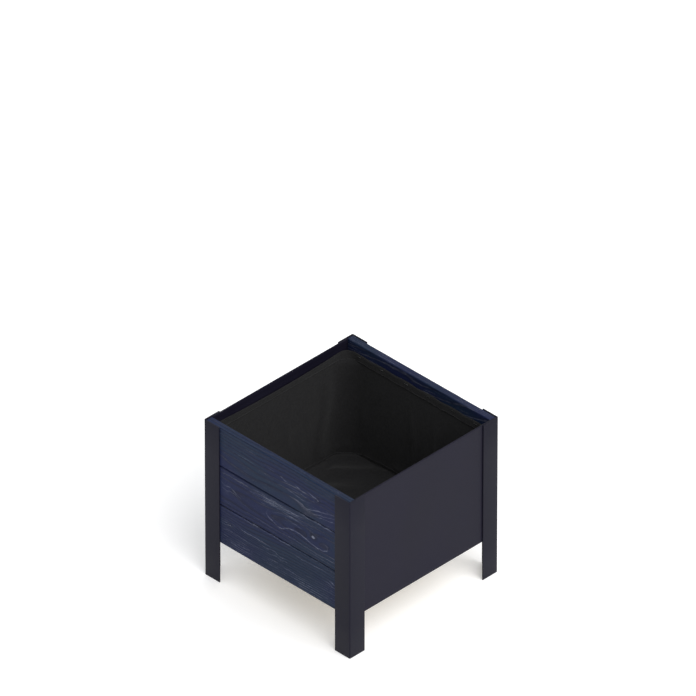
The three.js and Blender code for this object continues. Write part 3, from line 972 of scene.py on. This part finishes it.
def make_slat_screw(node, material):
    """A pan-head screw, head down, with a cross recess."""
    made = turned_piece(node, SLAT_SCREW, 2, 1, material, False)
    low, high = box_mm(node)
    middle = (low + high) / 2
    for reach in RECESS_ARMS:
        size = np.array((*reach, 0))
        drill(made, [block(
            (*(middle - size)[:2], low[2] - 1), (*(middle + size)[:2], low[2] + RECESS_DEPTH))])
    made.data.set_sharp_from_angle(angle=math.radians(30))


# ---- the felt liner
FELT = 1.8
LINER_RADIUS, LINER_TOP_RADIUS = 60.0, 24.0  # low corners clear the nuts, high ones fill out
LINER_SHOULDER = (402.0, 408.0)  # where the corners change from one radius to the other
LINER_HEM = 20.0
LINER_COLUMNS = (50, 48)  # squares across the floor of the bag
LINER_ROWS = 32
SLACK = 0.03  # the bag is cut this much larger than the box it stands in
STEEL_LEAN, STEEL_DIP, BOARD_LEAN = 5.5, 1.2, 1.6  # how the held edge hangs away from its sides
STEEL_DIP_LEAN = 1.7  # the edge dips along the steel where it leans in more than this
CLOTH = {
    "quality": 7, "mass": 0.08, "tension_stiffness": 24, "compression_stiffness": 24,
    "shear_stiffness": 10, "bending_stiffness": 2.5, "vertex_group_mass": "held",
    "shrink_min": -SLACK}
CLOTH_FRAMES = 36
FLUTE_DEPTH, SLUMP_DEPTH, CREASE_HEIGHT = 14.0, 11.0, 9.0
SEAM_STEP = 1.3  # how far the foot seam stands in from the wall
STITCH_PITCH, STITCH_LENGTH, STITCH_RADIUS = 4.2, 3.0, 0.42
STITCH_SHAPE = (  # share of the length, share of the radius, and rise in radii
    (0, 0.25, -0.6), (0.12, 0.8, 0.3), (0.5, 1, 0.7), (0.88, 0.8, 0.3), (1, 0.25, -0.6))
STAPLES_PER_SIDE = 6
STAPLE_END_GAP = 42.0  # from the box's side to the first staple
STAPLE_HALF, STAPLE_LEG, STAPLE_BEND = 5.2, 7.0, 0.8
WIRE_WIDTH, WIRE_THICK = 1.2, 0.7


def liner_radius(z):
    return np.interp(z, LINER_SHOULDER, (LINER_RADIUS, LINER_TOP_RADIUS))


def rounded_square(a, b, half_x, half_y, radius):
    """Maps a point of the square -1..1 onto a rounded rectangle, ring by ring."""
    level = max(abs(a), abs(b))
    if level == 0:
        return 0.0, 0.0
    a, b = a / level, b / level
    turns = 0
    while not (a >= 1 - 1e-9 and b < 1 - 1e-9):  # brings the point to the +x side
        a, b = b, -a
        turns += 1
    across, along = (half_x, half_y) if turns % 2 == 0 else (half_y, half_x)
    arc = radius * math.pi / 4
    s = b * (arc + along - radius)
    if abs(s) <= along - radius:
        x, y = across, s
    else:
        bend = (abs(s) - along + radius) / radius
        x = across - radius + radius * math.cos(bend)
        y = math.copysign(along - radius + radius * math.sin(bend), s)
    for _ in range(turns):
        x, y = -y, x
    return x * level, y * level


def liner_grid(half_x, half_y, floor, top):
    """The bag's verts, faces and wall rows, each row a list of indices round the bag."""
    nx, ny = LINER_COLUMNS

    def point(i, j, z):
        x, y = rounded_square(2 * i / nx - 1, 2 * j / ny - 1, half_x, half_y, liner_radius(z))
        return x, y, z

    verts = [point(i, j, floor) for i in range(nx + 1) for j in range(ny + 1)]
    at = np.arange(len(verts)).reshape(nx + 1, ny + 1)
    squares = np.stack((at[:-1, :-1], at[1:, :-1], at[1:, 1:], at[:-1, 1:]), axis=2)
    faces = squares.reshape(-1, 4).tolist()
    edge = [(i, 0) for i in range(nx)] + [(nx, j) for j in range(ny)]
    edge += [(i, ny) for i in range(nx, 0, -1)] + [(0, j) for j in range(ny, 0, -1)]
    rows = [[int(at[i, j]) for i, j in edge]]
    for k in range(1, LINER_ROWS + 1):
        z = floor + (top - floor) * k / LINER_ROWS
        rows.append(list(range(len(verts), len(verts) + len(edge))))
        verts += [point(i, j, z) for i, j in edge]
        faces += band(rows[-2], rows[-1])
    return np.array(verts, float), faces, rows


def inward_normals(ring):
    """Level unit vectors into the bag, at the points of a closed ring."""
    return np.column_stack((-outward(ring), np.zeros(len(ring))))


def staple_places(half_x):
    return np.linspace(-1, 1, STAPLES_PER_SIDE) * (half_x - STAPLE_END_GAP)


def hung_edge(ring, half_x, half_y):
    """The bag's held top edge, which leans in and dips between staples and along the steel."""
    staples = staple_places(half_x)
    gap = np.abs(ring[:, :1] - staples).min(axis=1) / (staples[1] - staples[0]) * 2
    on_boards = np.abs(ring[:, 1]) > half_y - 4
    on_steel = np.abs(ring[:, 0]) > half_x - 4
    between = np.where(on_boards, np.clip(gap, 0, 1) ** 2, 0.0)
    ends = np.clip(1 - (ring[:, 1] / (half_y - LINER_TOP_RADIUS)) ** 2, 0, 1)
    lean = np.where(on_steel, STEEL_LEAN * ends, BOARD_LEAN * between)
    hung = ring + inward_normals(ring) * lean[:, None]
    hung[:, 2] -= BOARD_LEAN * between + STEEL_DIP * ends * (lean > STEEL_DIP_LEAN)
    return hung


def simulated(verts, faces, held, half_x, half_y, floor):
    """Drops the slack bag into its box with cloth simulation, held by some of its points."""
    bag = mesh_object("bag", verts, faces, None)
    bag.vertex_groups.new(name="held").add(held, 1.0, "REPLACE")
    cavity_grid = liner_grid(half_x + 0.6, half_y + 0.6, floor - 0.6, 440)
    cavity = mesh_object("cavity", *cavity_grid[:2], None)
    cavity.modifiers.new("collision", "COLLISION")
    cavity.collision.thickness_outer = 0.001
    cavity.collision.cloth_friction = 12
    cloth = bag.modifiers.new("cloth", "CLOTH")
    for key, value in CLOTH.items():
        setattr(cloth.settings, key, value)
    cloth.collision_settings.distance_min = 0.001
    cloth.point_cache.frame_start = 1
    cloth.point_cache.frame_end = CLOTH_FRAMES
    for number in range(1, CLOTH_FRAMES + 1):
        bpy.context.scene.frame_set(number)
    applied(bag)
    hung = vertices_mm(bag)
    bpy.context.scene.frame_set(1)
    bpy.data.objects.remove(bag)
    bpy.data.objects.remove(cavity)
    return hung


def rumpled(verts, floor, top):
    """Folds that a soft bag keeps: flutes down its walls, a slumped foot and floor creases."""
    x, y, z = verts.T
    turn = np.arctan2(y, x)
    level = np.clip((z - floor) / (top - floor), 0, 1)
    lean = turn + 0.05 * np.sin(5 * level + 4 * turn)
    flute = 0.5 + 0.5 * np.sin(17 * lean + 1.9 * np.sin(3 * lean + 0.8))
    flute = flute ** 2.6 * (0.4 + 0.6 * np.sin(2.6 * turn + 1.1) ** 2)
    slump = 0.5 + 0.5 * np.sin(9 * turn + 2 * np.sin(2 * turn))
    slump = slump * np.exp(-(((level - 0.1) / 0.06) ** 2))
    inward = FLUTE_DEPTH * flute * np.sin(math.pi * level ** 0.8) + SLUMP_DEPTH * slump
    crease = np.sin(x / 23 + 1.6 * np.sin(y / 47)) * np.sin(y / 31 + 1.4 * np.sin(x / 52))
    on_floor = level < 0.012
    lift = CREASE_HEIGHT * np.clip(crease + 0.1, 0, 1) ** 1.3 * on_floor
    shrink = 1 - np.where(on_floor, 0, inward) / np.hypot(x, y).clip(1)
    return np.stack((x * shrink, y * shrink, z + lift), axis=1)


def keep_inside(verts, half_x, half_y, floor, skin):
    """Moves points that are outside the box the bag stands in back to its wall or floor."""
    out = verts.copy()
    out[:, 2] = np.maximum(out[:, 2], floor + skin)
    radius = liner_radius(out[:, 2])
    core = np.stack((half_x - radius, half_y - radius), axis=1)
    nearest = np.clip(out[:, :2], -core, core)
    away = out[:, :2] - nearest
    reach = np.linalg.norm(away, axis=1)
    too_far = reach > radius - skin
    share = np.where(too_far, (radius - skin) / np.maximum(reach, 1e-9), 1.0)
    out[:, :2] = nearest + away * share[:, None]
    return out


def with_hem(verts, faces, rows):
    """Turns the bag's top edge over and down inside, as a doubled hem. Adds the hem's verts and
    faces to the bag's, and gives them with the hem's rows."""
    ring, wall = verts[rows[-1]], verts[rows[-3]]
    normal = inward_normals(ring)
    fall = (wall - ring) * LINER_HEM / (ring[:, 2].mean() - wall[:, 2].mean())
    fall[:, 2] = 0
    double = FELT + 0.25
    path = [(0.3 * double, 0.42 * double), (0.7 * double, 0.42 * double), (double, 0)]
    path += [(double, -drop) for drop in (5, 10, 15, LINER_HEM)]
    hem_rows = [rows[-1]]
    for inward, rise in path:
        hem_rows.append(list(range(len(verts), len(verts) + len(ring))))
        down = max(0, -rise) / LINER_HEM
        verts = np.concatenate((verts, ring + down * fall + normal * inward + (0, 0, rise)))
        faces = faces + band(hem_rows[-2], hem_rows[-1])
    return verts, faces, hem_rows[1:]


def stitches(ring, normals):
    """Verts and faces of a closed line of stitches, a little sunk at their ends."""
    ring = np.concatenate((ring, ring[:1]))
    normals = np.concatenate((normals, normals[:1]))
    far = np.concatenate(((0,), np.cumsum(np.linalg.norm(np.diff(ring, axis=0), axis=1))))
    theta = np.arange(6) * TAU / 6
    faces = tube(len(STITCH_SHAPE), len(theta))

    def at(values, s):
        return np.array([np.interp(s, far, values[:, k]) for k in range(3)])

    made = []
    for start in np.arange(0, far[-1] - STITCH_LENGTH, STITCH_PITCH):
        verts = []
        for share, size, rise in STITCH_SHAPE:
            s = start + share * STITCH_LENGTH
            out = at(normals, s)
            side = np.cross(out, unit(at(ring, s + 0.5) - at(ring, s - 0.5)))
            centre = at(ring, s) + out * (FELT / 2 + rise * STITCH_RADIUS)
            spokes = np.cos(theta)[:, None] * side + np.sin(theta)[:, None] * out
            verts.append(centre + STITCH_RADIUS * size * spokes)
        made.append((np.concatenate(verts), faces))
    return merged(made)


def staple_mesh(centre, out):
    """Verts and faces of one staple: a flat wire crown with both legs going in."""
    along = np.cross((0, 0, 1.0), out)
    up = np.cross(out, along)
    half, bend = STAPLE_HALF, STAPLE_BEND
    right = [
        (half - bend, 0), (half - 0.3 * bend, -0.25 * bend), (half, -bend), (half, -STAPLE_LEG)]
    path = np.array([(-x, y) for x, y in reversed(right)] + right, float)
    run = unit(np.gradient(path, axis=0))
    verts = []
    for (x, y), (run_x, run_y) in zip(path, run):
        middle = centre + along * x + out * (y + WIRE_THICK / 2)
        thick = -along * run_y + out * run_x
        for across, through in ((-1, -1), (1, -1), (1, 1), (-1, 1)):
            verts.append(middle + (up * across * WIRE_WIDTH + thick * through * WIRE_THICK) / 2)
    return np.array(verts), tube(len(path), 4)


def make_staples(row, half_x, material):
    """Staples through the hem into the boards, at the points of a row of the hem."""
    normals = inward_normals(row)
    made = []
    for sy in (-1, 1):
        elsewhere = row[:, 1] * sy < 150
        for x in staple_places(half_x):
            i = np.argmin(np.abs(row[:, 0] - x) + elsewhere * 500)
            made.append(staple_mesh(row[i] + normals[i] * (FELT / 2 + 0.1), normals[i]))
    return settle(mesh_object("liner_staples", *merged(made), material, 30))


def make_liner(material, thread, zinc):
    low, high = box_mm("liner")
    half_x, half_y = high[:2]
    floor, top = low[2], high[2] - FELT
    skin = FELT / 2 + 0.05
    verts, faces, rows = liner_grid(half_x - skin, half_y - skin, floor + skin, top)
    verts[rows[-1]] = hung_edge(verts[rows[-1]], half_x, half_y)
    verts = simulated(verts, faces, rows[-1], half_x, half_y, floor)
    verts = keep_inside(rumpled(verts, floor + skin, top), half_x, half_y, floor, skin)
    verts[rows[1]] += inward_normals(verts[rows[1]]) * SEAM_STEP
    seam, edge = verts[rows[1]], verts[rows[-1]]
    verts, faces, hem_rows = with_hem(verts, faces, rows)
    bag = mesh_object("liner", verts, faces, material, 80)
    bag.modifiers.new("smooth", "SUBSURF")
    thick = bag.modifiers.new("felt", "SOLIDIFY")
    thick.thickness = FELT * MM
    thick.offset = 0
    applied(bag)
    settle(bag, "liner")

    hem = [verts[row] for row in hem_rows]
    lines = [
        stitches((hem[-2] + hem[-1]) / 2, inward_normals(hem[-1])),
        stitches(seam + (0, 0, 2.5), inward_normals(seam))]
    stitching = mesh_object("liner_stitching", *merged(lines), thread, 60)
    settle(stitching)
    staples = make_staples(hem[3], half_x, zinc)


# ---- assembling everything
LEG_COLOUR = (0.0080, 0.0078, 0.0152)
PANEL_COLOUR = (0.0084, 0.0077, 0.0164)
FELT_COLOUR = (0.0085, 0.0085, 0.0090)
STAIN = {  # colours of the early growth, in two shades, of the late growth and of bared lines and painted chamfer highlights
    "early": ((0.0098, 0.0148, 0.053), (0.0102, 0.0214, 0.0475)),
    "late": (0.0050, 0.0070, 0.024), "line": (0.205, 0.225, 0.305), "rough": 0.62, "gloss": 0.13}
PINE = {
    "early": ((0.33, 0.28, 0.155), (0.38, 0.30, 0.17)),
    "late": (0.22, 0.155, 0.075), "line": (0.19, 0.12, 0.055), "rough": 0.75, "gloss": 0.3}


def make_planter():
    leg_coat = powder_coat("leg_powder_coat", LEG_COLOUR)
    panel_coat = powder_coat("panel_powder_coat", PANEL_COLOUR)
    stain = wood("blue_black_stain", **STAIN)
    pine = wood("treated_pine", **PINE)
    zinc = zinc_plate("zinc")
    for side in SIDES:
        for level in range(len(LEVELS)):
            make_board(side, level, stain)
    for side in STEEL_SIDES:
        make_panel(side, panel_coat)
    for corner in CORNERS:
        make_leg(corner, leg_coat)
        make_studs(corner, zinc)
        make_nuts(corner, zinc)
    for number in SLATS:
        make_slat(number, pine)
        for side in STEEL_SIDES:
            make_slat_screw(f"slat_screw_{side}_{number}", zinc)
    make_liner(felt("black_felt", FELT_COLOUR), sewing_thread("thread"), zinc)


def make_floor():
    bpy.ops.mesh.primitive_circle_add(vertices=96, radius=60, fill_type="NGON")
    floor = bpy.context.object
    floor.name = "floor"
    floor.data.materials.append(floor_paint("floor_paint"))


make_camera()
make_studio()
make_floor()
make_planter()
